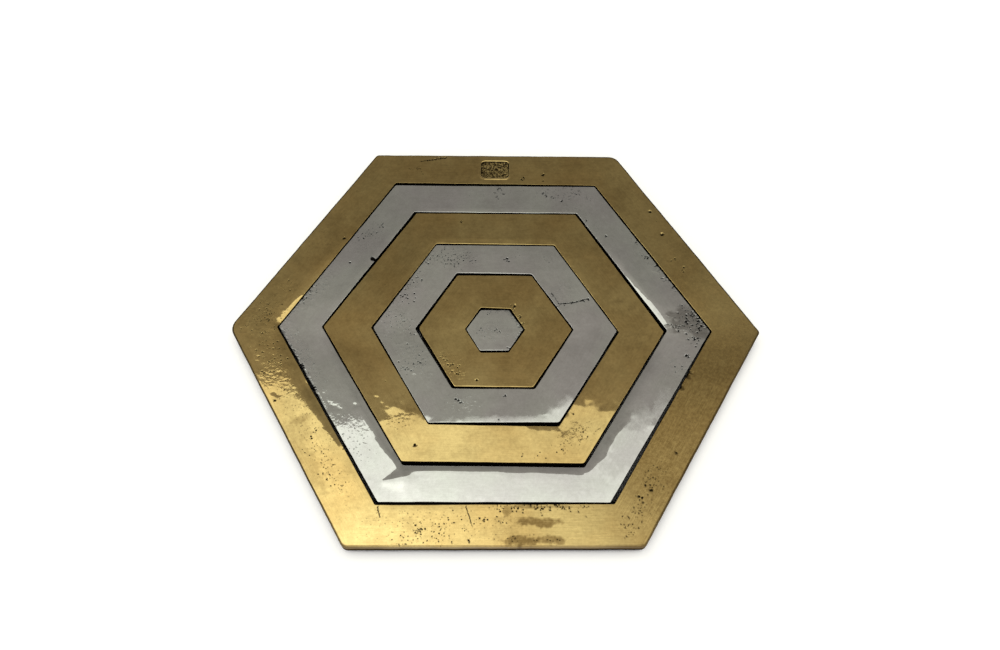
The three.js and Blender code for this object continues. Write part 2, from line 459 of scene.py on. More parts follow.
def cast_metal(name, polished, blush, tarnished, film, skin, dirt_and_shade, mirror, satin, oxide):
    """A sand-cast metal with a hand-polished top. The film is a thin uneven tarnish, blush its second
    tint, oxide the share of light that a milky skin of oxide scatters, and satin the roughness where
    the polish was left coarse. The dirt colour is both the dirt in pits and crumbs and the shade painted
    on walls that face the gaps and at the rim's foot."""
    material = bpy.data.materials.new(name)
    tree = emptied_tree(material)
    place = add(tree, "ShaderNodeTexCoord")
    marks = {
        mark: add(tree, "ShaderNodeAttribute", attribute_name=mark).outputs["Fac"] for mark in MARKS
    }

    # Tarnish: clouds about 14 mm across that break up finely, blushes of 25 mm, scuffs of 1.3 mm, and
    # polishing streaks that run along each leg
    clouds = add(
        tree, "ShaderNodeTexNoise",
        {"Vector": place.outputs["Object"], "Scale": per(14), "Detail": 5.0, "Roughness": 0.72},
    )
    blushes = add(
        tree, "ShaderNodeTexNoise", {"Vector": place.outputs["Object"], "Scale": per(25), "Detail": 5.0}
    )
    scuffs = add(
        tree, "ShaderNodeTexNoise",
        {"Vector": place.outputs["Object"], "Scale": per(1.3), "Detail": 4.0, "Roughness": 0.7},
    )
    stretched = add(
        tree, "ShaderNodeMapping", {"Vector": place.outputs["UV"], "Scale": (1 / 9, 1 / 0.5, 1.0)}
    )
    streaks = add(
        tree, "ShaderNodeTexNoise", {"Vector": stretched.outputs["Vector"], "Scale": 1.0, "Detail": 2.0}
    )
    tinted = add(
        tree, "ShaderNodeMapRange",
        {"Value": blushes.outputs["Fac"], "From Min": 0.4, "From Max": 0.65, "To Min": 0.0, "To Max": 0.8},
    )
    tint = add(
        tree, "ShaderNodeMix",
        {"Factor": tinted.outputs["Result"], "A": linear(polished), "B": linear(blush)}, data_type="RGBA",
    )
    uneven = add(
        tree, "ShaderNodeMapRange",
        {
            "Value": clouds.outputs["Fac"], "From Min": 0.4, "From Max": 0.7,
            "To Min": 0.0, "To Max": 1.8 * film,
        },
    )
    scuffed = add(
        tree, "ShaderNodeMapRange",
        {
            "Value": scuffs.outputs["Fac"], "From Min": 0.35, "From Max": 0.65,
            "To Min": -0.8 * film, "To Max": 0.2 * film,
        },
    )
    stained = add(
        tree, "ShaderNodeMath", {0: uneven.outputs["Result"], 1: marks["stain"]}, operation="MAXIMUM"
    )
    streaked = add(
        tree, "ShaderNodeMath",
        {0: streaks.outputs["Fac"], 1: 1.6 * film, 2: stained.outputs["Value"]}, operation="MULTIPLY_ADD",
    )
    tarnish = add(
        tree, "ShaderNodeMath", {0: streaked.outputs["Value"], 1: scuffed.outputs["Result"]}, operation="ADD",
        use_clamp=True,
    )
    metal = add(
        tree, "ShaderNodeMix",
        {"Factor": tarnish.outputs["Value"], "A": tint.outputs["Result"], "B": linear(tarnished)},
        data_type="RGBA",
    )

    # Pinholes of gas about 0.5 mm wide and 1.4 mm apart, only where the metal came out porous
    holes = add(tree, "ShaderNodeTexVoronoi", {"Vector": place.outputs["Object"], "Scale": per(1.4)})
    hole = add(
        tree, "ShaderNodeMapRange",
        {"Value": holes.outputs["Distance"], "From Min": 0.12, "From Max": 0.3, "To Min": 1.0, "To Max": 0.0},
    )
    pinhole = add(
        tree, "ShaderNodeMath", {0: hole.outputs["Result"], 1: marks["porous"]}, operation="MULTIPLY"
    )
    # Dirt in pinholes, pits and crumbs, and painted shade on the walls by the gaps and at the rim's foot
    dirt_and_shade_share = add(tree, "ShaderNodeMath", {0: pinhole.outputs["Value"], 1: marks["grime_and_shade"]}, operation="MAXIMUM")

    # Cast skin: grains of moulding sand 0.5 mm across
    grains = add(
        tree, "ShaderNodeTexNoise", {"Vector": place.outputs["Object"], "Scale": per(0.5), "Detail": 4.0}
    )
    skinned = add(
        tree, "ShaderNodeMix", {"Factor": marks["skin"], "A": metal.outputs["Result"], "B": linear(skin)},
        data_type="RGBA",
    )
    colour = add(
        tree, "ShaderNodeMix",
        {"Factor": dirt_and_shade_share.outputs["Value"], "A": skinned.outputs["Result"], "B": linear(dirt_and_shade)},
        data_type="RGBA",
    )

    # Dirt and the painted shade also dull the gleam that bare metal has when it is seen at a slant
    slanting = add(
        tree, "ShaderNodeMix",
        {"Factor": dirt_and_shade_share.outputs["Value"], "A": linear("#FFFFFF"), "B": linear(dirt_and_shade)}, data_type="RGBA",
    )

    # Gloss: a mirror, or brushed where the polish was left coarse
    brushed = add(
        tree, "ShaderNodeMapRange",
        {
            "Value": streaks.outputs["Fac"], "From Min": 0.3, "From Max": 0.7,
            "To Min": 0.88 * satin, "To Max": 1.12 * satin,
        },
    )
    gloss = add(
        tree, "ShaderNodeMix", {"Factor": marks["satin"], "A": mirror, "B": brushed.outputs["Result"]}
    )
    unpolished = add(
        tree, "ShaderNodeMath", {0: marks["skin"], 1: dirt_and_shade_share.outputs["Value"]}, operation="MAXIMUM"
    )
    roughness = add(
        tree, "ShaderNodeMix", {"Factor": unpolished.outputs["Value"], "A": gloss.outputs["Result"], "B": 0.7}
    )
    sandy = add(tree, "ShaderNodeMath", {0: grains.outputs["Fac"], 1: marks["skin"]}, operation="MULTIPLY")

    # Porous metal polishes unevenly: shallow dips 1.2 mm across, a few hundredths deep, glint in it
    dips = add(
        tree, "ShaderNodeTexNoise", {"Vector": place.outputs["Object"], "Scale": per(1.2), "Detail": 2.0}
    )
    dipped = add(tree, "ShaderNodeMath", {0: dips.outputs["Fac"], 1: marks["porous"]}, operation="MULTIPLY")
    height = add(
        tree, "ShaderNodeMath", {0: dipped.outputs["Value"], 1: 0.18, 2: sandy.outputs["Value"]},
        operation="MULTIPLY_ADD",
    )
    bump = add(
        tree, "ShaderNodeBump", {"Height": height.outputs["Value"], "Strength": 0.7, "Distance": 0.25 * MM}
    )
    shader = add(
        tree, "ShaderNodeBsdfPrincipled",
        {
            "Base Color": colour.outputs["Result"], "Metallic": 1 - oxide,
            "Roughness": roughness.outputs["Result"], "Normal": bump.outputs["Normal"],
            "Specular Tint": slanting.outputs["Result"],
        },
    )
    add(tree, "ShaderNodeOutputMaterial", {"Surface": shader.outputs["BSDF"]})
    return material


# Yellow brass, polished by hand to a mirror that still shows waves and casting pits: warm and crisp
# where it is bright, olive brown under its tarnish, and dull brown where the sand skin is left
# Its dark dirt colour also paints the shade on walls that face the gaps and at the rim's foot
brass = cast_metal(
    "hand_polished_cast_brass", polished="#CAB47B", blush="#C4A86E", tarnished="#705B36", film=0.2,
    skin="#6B5430", dirt_and_shade="#1A130A", mirror=0.03, satin=0.3, oxide=0.02,
)

outer_brass = pour("brass_outer_ring", hole_around("aluminium_outer_ring"), hole_lip=0.5, rim_lip=0.9)
outer_brass_pits = scattered(1, [
    (72.5, 65.5, 0.6, 2, 1.5), (75.3, 60.2, 0, 1, 0.7), (77.2, 52.7, 0.6, 3, 1.5), (82, 38.2, 1.5, 4, 1.1),
    (85, 32.3, 1.2, 4, 1.0), (13.5, 85.5, 1, 6, 1.0), (23.2, 87.7, 0.8, 4, 1.2), (22.8, 84, 0.5, 2, 0.8),
    (-36, 91, 3.5, 10, 0.6), (-69, 48.5, 0.5, 3, 1.2), (-91.5, 22.3, 3, 8, 0.7), (-101, 6, 9, 44, 0.6),
    (-99, 4, 0.8, 3, 1.1), (-97, -10, 8, 34, 0.7), (-93, -20, 5, 14, 0.7), (-91, -36, 0, 1, 1.0),
    (-87, -32, 5, 10, 0.5), (-73, -51, 3, 7, 0.75), (-70, -58, 5, 16, 0.5), (-64, -69, 5, 16, 0.55),
    (-60, -75, 3, 8, 0.4), (-36, -98, 4, 9, 0.55), (-29, -93, 4, 14, 0.65), (-28, -92, 0.6, 3, 1.0),
    (-21, -92, 5, 18, 0.55), (-20, -97, 5, 12, 0.5), (-12, -89, 5, 14, 0.5), (-9, -97, 1, 3, 0.75),
    (-4, -89, 2, 7, 0.75), (3, -87, 3, 10, 0.5), (65, -66, 3, 8, 0.5), (64, -72, 4, 14, 0.55),
    (62, -75, 2, 5, 0.8), (58, -79, 2, 6, 0.9), (57, -84, 2, 6, 0.55), (52, -89, 4, 14, 0.65),
    (54, -94, 3, 8, 0.55), (2, -82.6, 3, 10, 0.7), (10, -82.6, 3, 14, 0.7), (18, -82.6, 4, 18, 0.7),
    (27, -82.6, 4, 14, 0.7), (35, -82.8, 3, 8, 0.6), (74, -58, 0.6, 2, 0.9), (79, -27.9, 0.3, 2, 1.5),
])
outer_brass_pits += scratched(2, [
    (-36, 95.6, -30, 96.6, 0.5), (-30, 96.6, -23.6, 98.2, 0.7), (82.9, -20.3, 81.2, -23.4, 1.0),
    (-45.5, -82.9, -45.2, -84.5, 0.5), (-45.2, -84.5, -44.3, -87.4, 0.35), (-11, -82.3, -9.4, -86.8, 0.3),
    (-9.4, -86.8, -8.4, -90.6, 0.3),
])
panel_length = 14.0
panel_border = 3.8
panel_corner = 2.5
panel_depth = 0.5
panel_side = 0.5
panel_rim = 0.1
panel_middle = Vector((0, (outer_brass.hole + outer_brass.outside) / 2))
panel_half = Vector((panel_length / 2, (outer_brass.outside - outer_brass.hole) / 2 - panel_border))


def past_panel_edge(point):
    """How far outside the panel's edge a point lies, negative inside it."""
    over = Vector((abs(point.x - panel_middle.x), abs(point.y - panel_middle.y))) - panel_half
    over += Vector((panel_corner, panel_corner))
    return Vector((max(0, over.x), max(0, over.y))).length + min(0, max(over)) - panel_corner


pitted = near_pits(outer_brass_pits)
refine(outer_brass, lambda point: pitted(point) or past_panel_edge(point) < 1.0)
# Its outer walls get about a third of the painted shade of walls that face a gap
leave_skin(outer_brass, rim_wall_shade=0.35)

# The edge of the rim is darkened, most at the far sides, and its foot is painted dark as the shade where it
# meets the table. The upper half of the near wall was buffed along with the top.
for vert in outer_brass.mesh.verts:
    from_rim = outer_brass.outside - across_leg(vert.co)
    above_foot = vert.co.z - outer_brass.underside
    if from_rim < outer_brass.rim_lip + 0.5 * LIP_BORDER:
        skin, grime_and_shade = outer_brass.marks["skin"], outer_brass.marks["grime_and_shade"]
        buffed = ease(2.2, 3.2, above_foot) * at_sides((0, 0, 0, 0, 0.7, 0), vert.co)
        darker_rim_edge = ease(3, 4, above_foot) * at_sides((0.95, 0.9, 0.95, 0.75, 0, 0.4), vert.co)
        painted_foot_shade = ease(2.0, 0.9, above_foot)
        vert[skin] *= 1 - buffed
        vert[grime_and_shade] = max(vert[grime_and_shade] * (1 - buffed), darker_rim_edge, painted_foot_shade)
sharpen_lips(
    outer_brass, hole_lips=(0.2, 0.12, 0.1, 0.1, 0.2, 0.1), rim_lips=(0.8, 0.6, 0.8, 0.7, 0.9, 0.9)
)
round_corners(outer_brass, hole_radius=1.2, rim_radii=(1.6, 6.0, 2.0, 6.5, 3.2, 2.6))
file_sides(
    outer_brass, hole=(0.4, (-0.1, 0.3), 0, -0.35, (0.4, -0.6), (0.2, 0.4)),
    rim=(0.4, (0, -0.4), -0.7, (-0.6, 0.2), (-0.3, -1.3), 0.45), seed=11,
)
polish(
    outer_brass, seed=12, dish=(0.3, 0, 0, 0, 0, 1.0), hole_roll=((0, 0, 0, 0.3, 0.12, 0), (4, 4, 4, 6, 4, 4))
)
press_dents(outer_brass, [
    (-92.5, 2.5, -84.5, 16, 2.0, 0.6, 0.22), (-75.5, -29, -60.5, -57, 5.0, 1.2, 0.3),
    (-92, -22.5, -89.5, -23, 1.1, 0.7, 0.014), (-95, -24, -92.5, -25.5, 1.2, 0.9, 0.02),
    (-91.5, -32, -89.5, -33.5, 1.5, 1.1, 0.03), (-86, -45, -79, -47, 2.5, 2.0, 0.02),
])
sink_pits(outer_brass, outer_brass_pits)

# The panel's ground is stippled, and its edge is pushed up a little
for vert in outer_brass.mesh.verts:
    past = past_panel_edge(vert.co)
    if past < 1.2 and vert.co.z > outer_brass.top - 1:
        sunk = ease(0, -panel_side, past)
        stipple = noise.noise(vert.co / 0.6) + 0.6 * noise.noise(vert.co / 0.3)
        pushed_up = panel_rim * ease(1.2, 0.4, past) * ease(-0.2, 0.3, past)
        vert.co.z -= (panel_depth + 0.11 * stipple) * sunk - pushed_up
        ground_dirt = sunk * clamped(0.75 + 0.8 * stipple)
        vert[outer_brass.marks["grime_and_shade"]] = max(ground_dirt, ease(0.35, 0.1, abs(past + 0.3)))
        vert[outer_brass.marks["satin"]] = sunk

# The near right half was buffed less finely than the rest: it keeps a satin sheen and a darker tarnish
for vert in outer_brass.mesh.verts:
    ragged = 4 * noise.noise(Vector((vert.co.x, vert.co.y, 5)) / 7)
    buffed_less = ease(4, 9, vert.co.x + ragged - 0.15 * (vert.co.y + 92))
    duller = ease(-60, 12, vert.co.x + ragged)
    satin, stain = outer_brass.marks["satin"], outer_brass.marks["stain"]
    vert[satin] = max(vert[satin], buffed_less * at_corners((0.5, 0, 0, 0, 1, 1), vert.co))
    vert[stain] = duller * at_sides((0, 0, 0, 0, 0.22, 0.76), vert.co)
mark_patches(outer_brass, "satin", 5, [(-88.5, 9.5, 9, 2.6, 60, 0.25)])
mark_patches(outer_brass, "stain", 6, [
    (17.5, -89.1, 10, 2.3, -2, 0.85), (5, -84, 2, 2.6, 0, 0.7), (11.5, -96.8, 7.5, 2.4, 0, 0.85),
    (23, -96.6, 8, 2.1, 0, 0.8), (18, -82.5, 20, 0.9, 0, 0.6), (-80, -45, 5, 2, 25, 0.5),
    (2, -88, 3, 1.5, 10, 0.4), (-76, -62, 22, 4, 120, 0.35), (-81, -50, 10, 6, 120, 0.3),
    (4, -92, 9, 6, 0, 0.35),
])
mark_patches(outer_brass, "porous", 7, [
    (-101, 5, 10, 10, 0, 1), (-98, -9, 9, 7, -60, 0.5), (-93, -21, 8, 7, -60, 1), (-93, 21, 7, 5, 60, 0.6),
    (-28, -93, 14, 5, 20, 0.7), (-68, -62, 14, 5, 120, 0.5), (17, -82.8, 22, 1.2, 0, 1),
    (15, -96, 12, 2, 0, 0.8), (60, -78, 18, 5, 60, 0.6), (-74, -52, 34, 8, 120, 0.3),
    (-22, -91, 34, 8, 0, 0.4), (-77, 48, 12, 6, 60, 0.2),
])

outer_brass_casting = set_down(outer_brass, "outer_brass_casting", brass)
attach(outer_brass_casting, "outer_brass_ring")
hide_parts("brass_outer_ring")


# Outer aluminium ring: sand cast like the brass, with its polish rolled over towards the hole and
# an outer edge that broke away in crumbs on its left side. It lies loose inside the outer brass ring.

# Grey aluminium, polished but oxidised: a mirror seen through a thin milky haze
# Its dark dirt colour also paints the shade on walls that face the gaps
aluminium = cast_metal(
    "hand_polished_cast_aluminium", polished="#C6C9C7", blush="#C3C1C5", tarnished="#7C7977", film=0.12,
    skin="#5A5754", dirt_and_shade="#131110", mirror=0.03, satin=0.4, oxide=0.12,
)

CRUMBS_REACH = 2.5


def crumble_rim(casting, sides, corners, seed):
    """Lets crumbs break out of the top of the rim and blackens them, by a share set for each side, within
    half a leg of the corners that are set to 1."""
    grime_and_shade = casting.marks["grime_and_shade"]
    for vert in casting.mesh.verts:
        from_rim = casting.outside - across_leg(vert.co)
        if from_rim < CRUMBS_REACH and vert.co.z > casting.top - 1.5:
            place = Vector((vert.co.x, vert.co.y, seed))
            crumb = noise.noise(place / 0.7) + 0.6 * noise.noise(place / 2.5) + 0.18 - 0.6 * from_rim
            share = at_sides(sides, vert.co) * ease(0.45, 0.65, at_corners(corners, vert.co))
            vert.co.z -= 0.05 * share * ease(0, 0.4, crumb)
            vert[grime_and_shade] = max(vert[grime_and_shade], share * ease(-0.25, 0.05, crumb))


outer_aluminium = pour("aluminium_outer_ring", hole_around("brass_middle_ring"), hole_lip=1.2, rim_lip=0.5)
outer_aluminium_pits = scattered(12, [
    (-60.5, 49, 3, 12, 0.7), (-56.6, 52, 3, 10, 0.6), (-52.7, 55.7, 2, 8, 0.7), (-65.5, 35, 0.5, 2, 1.1),
    (-55.2, 36.9, 0.9, 8, 1.6), (-81, 20.3, 2.5, 14, 0.7), (-84, 14.8, 2.5, 12, 0.7),
    (2.4, 78.4, 1.2, 5, 0.7), (4.2, 75.6, 1, 4, 0.7), (1.3, 73.3, 1, 4, 0.6), (0.2, 76.1, 1, 4, 0.6),
    (22.7, 76.3, 1.6, 8, 0.7), (24.8, 75, 1.2, 5, 0.6), (27.7, 74.1, 1.2, 5, 0.6), (31.6, 72.3, 0.8, 3, 0.9),
    (37.2, 76.5, 2, 8, 0.5), (40, 77.5, 1.5, 6, 0.5), (51.1, 51.2, 0.6, 3, 0.9), (42.6, 60.1, 0.6, 3, 0.9),
    (65.6, 47.3, 2, 10, 0.7), (69.5, 39.8, 2, 12, 0.7), (74, 34.4, 2, 12, 0.7), (77, 28.3, 2, 12, 0.7),
    (80.8, 23, 2, 10, 0.7), (86, 7, 6, 44, 0.9), (89.5, 2, 4, 28, 0.9), (80, 3, 4, 22, 0.7),
    (86.5, -5, 3, 14, 0.8), (83, -12.4, 1.5, 6, 1.0), (80, -18, 4, 8, 0.6), (34, 77, 5, 16, 0.45),
    (24, 77.6, 3, 8, 0.45), (44, 74.5, 2.5, 8, 0.45), (-8, 76, 4, 8, 0.4),
])
pitted = near_pits(outer_aluminium_pits)


def crumbled(point):
    """Whether a point lies by the left side's edge, where the crumbs are."""
    return point.x < -50 and outer_aluminium.outside - across_leg(point) < CRUMBS_REACH


refine(outer_aluminium, lambda point: pitted(point) or crumbled(point))
leave_skin(outer_aluminium)
sharpen_lips(
    outer_aluminium, hole_lips=(0.15, 0.28, 0.1, 0.1, 0.2, 0.2), rim_lips=(0.1, 0.1, 0.1, 0.1, 0.4, 0.1)
)
crumble_rim(outer_aluminium, sides=(0, 0, 0.3, 1, 0, 0), corners=(0, 0, 0, 1, 0, 0), seed=23)
round_corners(outer_aluminium, hole_radius=1.2, rim_radii=(0.8,) * 6)
file_sides(
    outer_aluminium, hole=(0.9, 0, (0.2, 0.8), (0, -0.4), (0.4, 0.7), (-0.2, 0.5)),
    rim=(0.3, (-0.3, -0.6), 0, (-0.4, -1.0), (0.1, -0.4), (-0.7, 0.45)), seed=21,
)
polish(
    outer_aluminium, seed=22, dish=(0, 0, 0, 2.6, 0.4, 2.6),
    hole_roll=((0.25, 0.1, 0.1, 0.1, 0.3, 0.35), (6, 4, 4, 4, 4, 6)),
)
press_dents(outer_aluminium, [
    (55, 35.6, 66, 16.6, 0.2, 1.0, 0.21), (66, 16.6, 73.7, 3.3, 1.0, 0.15, 0.21),
    (-67.4, -37.9, -65.5, -38.7, 1.0, 1.4, 0.04), (-65.5, -38.7, -62.8, -40.2, 1.4, 0.5, 0.04),
    (-57.5, -37.6, -56, -37.6, 1.2, 0.8, 0.04), (-63.6, -47.5, -63.4, -47.5, 4.5, 4.5, -0.05),
    (-36.5, -71.6, -43.8, -72.4, 4.5, 1.2, -0.3),
])
sink_pits(outer_aluminium, outer_aluminium_pits)
mark_patches(outer_aluminium, "porous", 24, [
    (86, 6, 10, 7, 0, 1), (72, 37, 22, 3, -60, 0.8), (-58, 50, 9, 6, 60, 0.7), (-80, 19, 12, 4, 60, 0.7),
    (29, 75, 12, 4, -10, 0.6), (-82, -12, 24, 3, -60, 0.8), (2, 76, 5, 4, 0, 0.6), (81, -14, 10, 4, 60, 0.6),
    (-58, -52, 14, 6, -60, 0.6), (40, 60, 18, 6, -60, 0.4),
])
mark_patches(outer_aluminium, "stain", 25, [
    (84, 6, 9, 7, 20, 0.65), (90, 1, 5, 6, 0, 0.7), (0, -73, 50, 9, 0, 0.2), (55, -55, 18, 8, 60, 0.3),
])
mark_patches(outer_aluminium, "satin", 26, [(61, -43, 8, 5, 60, 0.2), (70, -36, 9, 4, 60, 0.25)])

outer_aluminium_casting = set_down(outer_aluminium, "outer_aluminium_casting", aluminium)
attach(outer_aluminium_casting, "outer_aluminium_ring")
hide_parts("aluminium_outer_ring")


# Middle brass ring: sand cast and polished like the outer one, dished a little towards the middle
# of the mat. It lies loose inside the outer aluminium ring.
middle_brass = pour("brass_middle_ring", hole_around("aluminium_inner_ring"), hole_lip=1.3, rim_lip=0.5)
middle_brass_pits = scattered(31, [
    (-15.4, 59, 0.9, 5, 1.0), (-46, -26, 0.4, 2, 0.9), (-32, -56, 0, 1, 1.1), (28, -58, 2, 6, 0.55),
    (12, -60, 1, 3, 0.55), (18, -61, 2, 4, 0.55), (36, -50, 4, 14, 0.5), (-40, -46, 4, 8, 0.5),
    (-51, 24, 3, 4, 0.5), (33, -41, 0, 1, 0.7),
])
refine(middle_brass, near_pits(middle_brass_pits))
leave_skin(middle_brass)
sharpen_lips(
    middle_brass, hole_lips=(0.15, 0.32, 0.1, 0.1, 0.2, 0.1), rim_lips=(0.1, 0.1, 0.1, 0.1, 0.4, 0.1)
)
round_corners(middle_brass, hole_radius=1.2, rim_radii=(0.8, 0.8, 0.8, 0.8, 0.8, 1.6))
file_sides(
    middle_brass, hole=(-0.1, (-0.8, -0.5), (-0.6, -0.1), (-0.7, -0.2), (-0.4, 0.2), (0, 0.6)),
    rim=((-0.2, 0.6), (0, -0.15), (-0.4, 0.6), 0.1, (-0.4, 0), (-0.3, 0.4)), seed=31,
)
polish(
    middle_brass, seed=32, dish=(0.3, 0, 0, 1.55, 0.9, 1.7),
    hole_roll=((0, 0.08, 0.08, 0, 0.005, 0.004), (4, 3, 3, 4, 3, 3)),
)
press_dents(middle_brass, [
    (-49, -46.6, -48.8, -46.5, 4.5, 4.5, -0.09), (-49.5, -34, -48.5, -34.4, 0.7, 0.5, 0.01),
    (-47.2, -36.9, -45.6, -37.5, 0.6, 0.4, 0.006), (-45.2, -38.6, -44, -39, 0.5, 0.4, 0.004),
    (6, -46.2, 26.5, -46.2, 0.8, 2.6, 0.03), (34, -47, 34.2, -47, 8, 8, 0.07),
    (39.5, -40, 43.5, -40, 0.9, 0.7, 0.008),
])
sink_pits(middle_brass, middle_brass_pits)
mark_patches(middle_brass, "porous", 33, [(34, -52, 10, 6, 30, 0.6), (-40, -46, 6, 4, 0, 0.5)])
mark_patches(middle_brass, "stain", 34, [(57, 0, 12, 14, 0, 0.28), (-44, 30, 18, 8, 60, 0.24)])

middle_brass_casting = set_down(middle_brass, "middle_brass_casting", brass)
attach(middle_brass_casting, "middle_brass_ring")
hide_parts("brass_middle_ring")


# Inner aluminium ring: sand cast and polished, dished towards the middle and rolled over at the
# near right corner of its rim. It lies loose inside the middle brass ring.
inner_aluminium = pour("aluminium_inner_ring", hole_around("brass_inner_ring"), hole_lip=0.8, rim_lip=0.6)
inner_aluminium_pits = scattered(41, [
    (-26, 40, 4, 16, 0.6), (-18, 36, 4, 14, 0.7), (-10, 37, 2, 8, 0.7), (-29, 37, 2, 6, 0.8),
    (-36, 25, 4, 18, 0.7), (-39, 17, 4, 16, 0.7), (-41, 5, 4, 10, 0.6), (-37.4, -7.6, 0, 1, 1.4),
    (-34, -1, 2, 6, 0.6), (-38, -19.5, 3, 14, 0.7), (-31, -16.5, 3, 10, 0.7), (5.6, 37.8, 1.2, 7, 0.9),
    (-14.5, -35.5, 2, 8, 0.8), (4.5, -33, 1, 4, 0.7), (2, -44, 0, 1, 0.9), (25.5, 18.7, 1.2, 6, 0.6),
    (28.6, 13.6, 1, 6, 0.6), (31.2, 13.9, 0.9, 5, 0.5), (33.8, 14.1, 0.9, 6, 0.6), (36.5, 15, 0.9, 4, 0.5),
    (39.1, 15.7, 0.8, 6, 0.7), (41.7, 16.5, 0.7, 5, 0.7), (-14, 41.5, 4, 12, 0.5), (-22, 36.5, 4, 10, 0.5),
    (10, 41, 3, 6, 0.4), (24, 37.5, 2, 6, 0.45),
])
inner_aluminium_pits += scratched(44, [
    (25.5, 19.5, 28.5, 13.8, 0.3), (28.5, 13.8, 34, 14.1, 0.45), (34, 14.1, 38.5, 15.5, 0.5),
    (38.5, 15.5, 41, 16.4, 0.5),
])
refine(inner_aluminium, near_pits(inner_aluminium_pits))
leave_skin(inner_aluminium)
sharpen_lips(
    inner_aluminium, hole_lips=(0.15, 0.32, 0.1, 0.1, 0.2, 0.1), rim_lips=(0.1, 0.1, 0.1, 0.1, 0.3, 0.1)
)
round_corners(inner_aluminium, hole_radius=1.2, rim_radii=(0.8, 0.8, 0.8, 0.8, 0.8, 1.6))
file_sides(
    inner_aluminium, hole=((0.75, -0.2), (0.2, 0.5), (0.2, 0.5), (0.2, 0.5), -0.1, (0.1, 0.35)),
    rim=(0, -0.7, -0.3, (-0.6, 0.3), (-0.2, -0.8), (0, 0.3)), seed=41,
)
polish(
    inner_aluminium, seed=42, dish=(0.8, 0.6, 1.6, 2.1, 1.35, 1.6),
    rim_roll=((0, 0, 0, 0, 0.004, 0.03), (4, 4, 4, 3, 2.5, 3.5)),
)
press_dents(inner_aluminium, [(25.5, -45.5, 27, -44.5, 5, 5, 0.03)])
sink_pits(inner_aluminium, inner_aluminium_pits)
mark_patches(inner_aluminium, "porous", 43, [
    (-22, 40, 12, 6, -10, 1), (-39, 24, 14, 5, 60, 1), (-34, -15, 10, 6, -60, 0.9), (30, 20, 5, 4, 0, 0.6),
    (-44, 4, 8, 8, 0, 0.9), (-14, -36, 8, 4, 0, 0.5),
])
mark_patches(inner_aluminium, "satin", 45, [(5, -44, 22, 2, 0, 0.2), (27, -40, 9, 4, 50, 0.15)])

inner_aluminium_casting = set_down(inner_aluminium, "inner_aluminium_casting", aluminium)
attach(inner_aluminium_casting, "inner_aluminium_ring")
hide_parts("aluminium_inner_ring")


# Inner brass ring: the smallest ring, sand cast and polished, around the centre tile. It lies loose
# inside the inner aluminium ring.
inner_brass = pour("brass_inner_ring", hole_around("aluminium_centre_tile"), hole_lip=0.8, rim_lip=0.8)
inner_brass_pits = scattered(51, [
    (-18.6, -17.3, 2.5, 12, 0.7), (-16, -21, 2, 10, 0.7), (-21.8, -13.7, 2, 8, 0.6), (-7.2, -25.5, 0, 1, 1.1),
    (8.3, 12, 1.2, 8, 0.9), (11.3, 6.6, 1, 5, 0.8), (13, 2.5, 0.8, 4, 0.8),
])
refine(inner_brass, near_pits(inner_brass_pits))
leave_skin(inner_brass)
sharpen_lips(
    inner_brass, hole_lips=(0.15, 0.3, 0.1, 0.1, 0.2, 0.1), rim_lips=(0.1, 0.1, 0.1, 0.1, 0.4, 0.1)
)
round_corners(inner_brass, hole_radius=1.2, rim_radii=(0.8, 0.8, 0.8, 2.0, 0.8, 1.6))
file_sides(
    inner_brass, hole=(0.1, (-0.8, -0.2), (-0.7, -0.4), -0.4, (0.5, 0.15), (-0.25, 0.15)),
    rim=((0.5, 0), (-0.2, -0.25), (-0.1, -0.2), (-0.4, 0.1), 0, (0, 0.4)), seed=51,
)
polish(inner_brass, seed=52, dish=(0, 0, 0, 0.3, 0.3, 0.3))
sink_pits(inner_brass, inner_brass_pits)
mark_patches(inner_brass, "porous", 53, [(-18, -17, 9, 4, -50, 0.7)])
mark_patches(inner_brass, "stain", 54, [(22, 0, 8, 12, 0, 0.28)])

inner_brass_casting = set_down(inner_brass, "inner_brass_casting", brass)
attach(inner_brass_casting, "inner_brass_ring")
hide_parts("brass_inner_ring")


# Centre tile: a small solid hexagon, sand cast in aluminium and polished, that fills the middle of
# the inner brass ring.
centre_tile = pour("aluminium_centre_tile", hole=0, hole_lip=0, rim_lip=0.6)
centre_tile_pits = scattered(61, [
    (1.4, -0.8, 2, 8, 0.6), (-6.2, -0.9, 2, 8, 0.6), (-2.5, 8.3, 1.5, 5, 0.5), (6.5, -9.5, 0.8, 4, 0.7),
])
refine(centre_tile, lambda point: True)
leave_skin(centre_tile)
sharpen_lips(centre_tile, hole_lips=(0,) * 6, rim_lips=(0.1, 0.1, 0.1, 0.1, 0.25, 0.1))
crumble_rim(centre_tile, sides=(0.8, 0.7, 0, 0, 0, 0.7), corners=(1, 1, 0, 0, 0, 0), seed=63)
round_corners(centre_tile, hole_radius=0, rim_radii=(0.8,) * 6)
file_sides(
    centre_tile, hole=(0,) * 6,
    rim=((0.3, -0.1), (-0.65, -0.95), (-0.7, -0.3), (-0.2, 0), (0.15, 0.05), (0.1, 0.2)), seed=61,
)
polish(centre_tile, seed=62)
sink_pits(centre_tile, centre_tile_pits)
mark_patches(centre_tile, "porous", 64, [(0, -1, 6, 5, 0, 0.7)])

centre_tile_casting = set_down(centre_tile, "centre_tile_casting", aluminium)
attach(centre_tile_casting, "centre_tile")
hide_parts("aluminium_centre_tile")


# Cork feet: discs cut from a sheet of pressed cork granules and glued under the castings, one at
# each corner of a ring and a larger one under the tile. They keep hot metal off the table.
FOOT_CHAMFER = 0.3
GRANULE = 1.3
GRANULE_RELIEF = 0.09

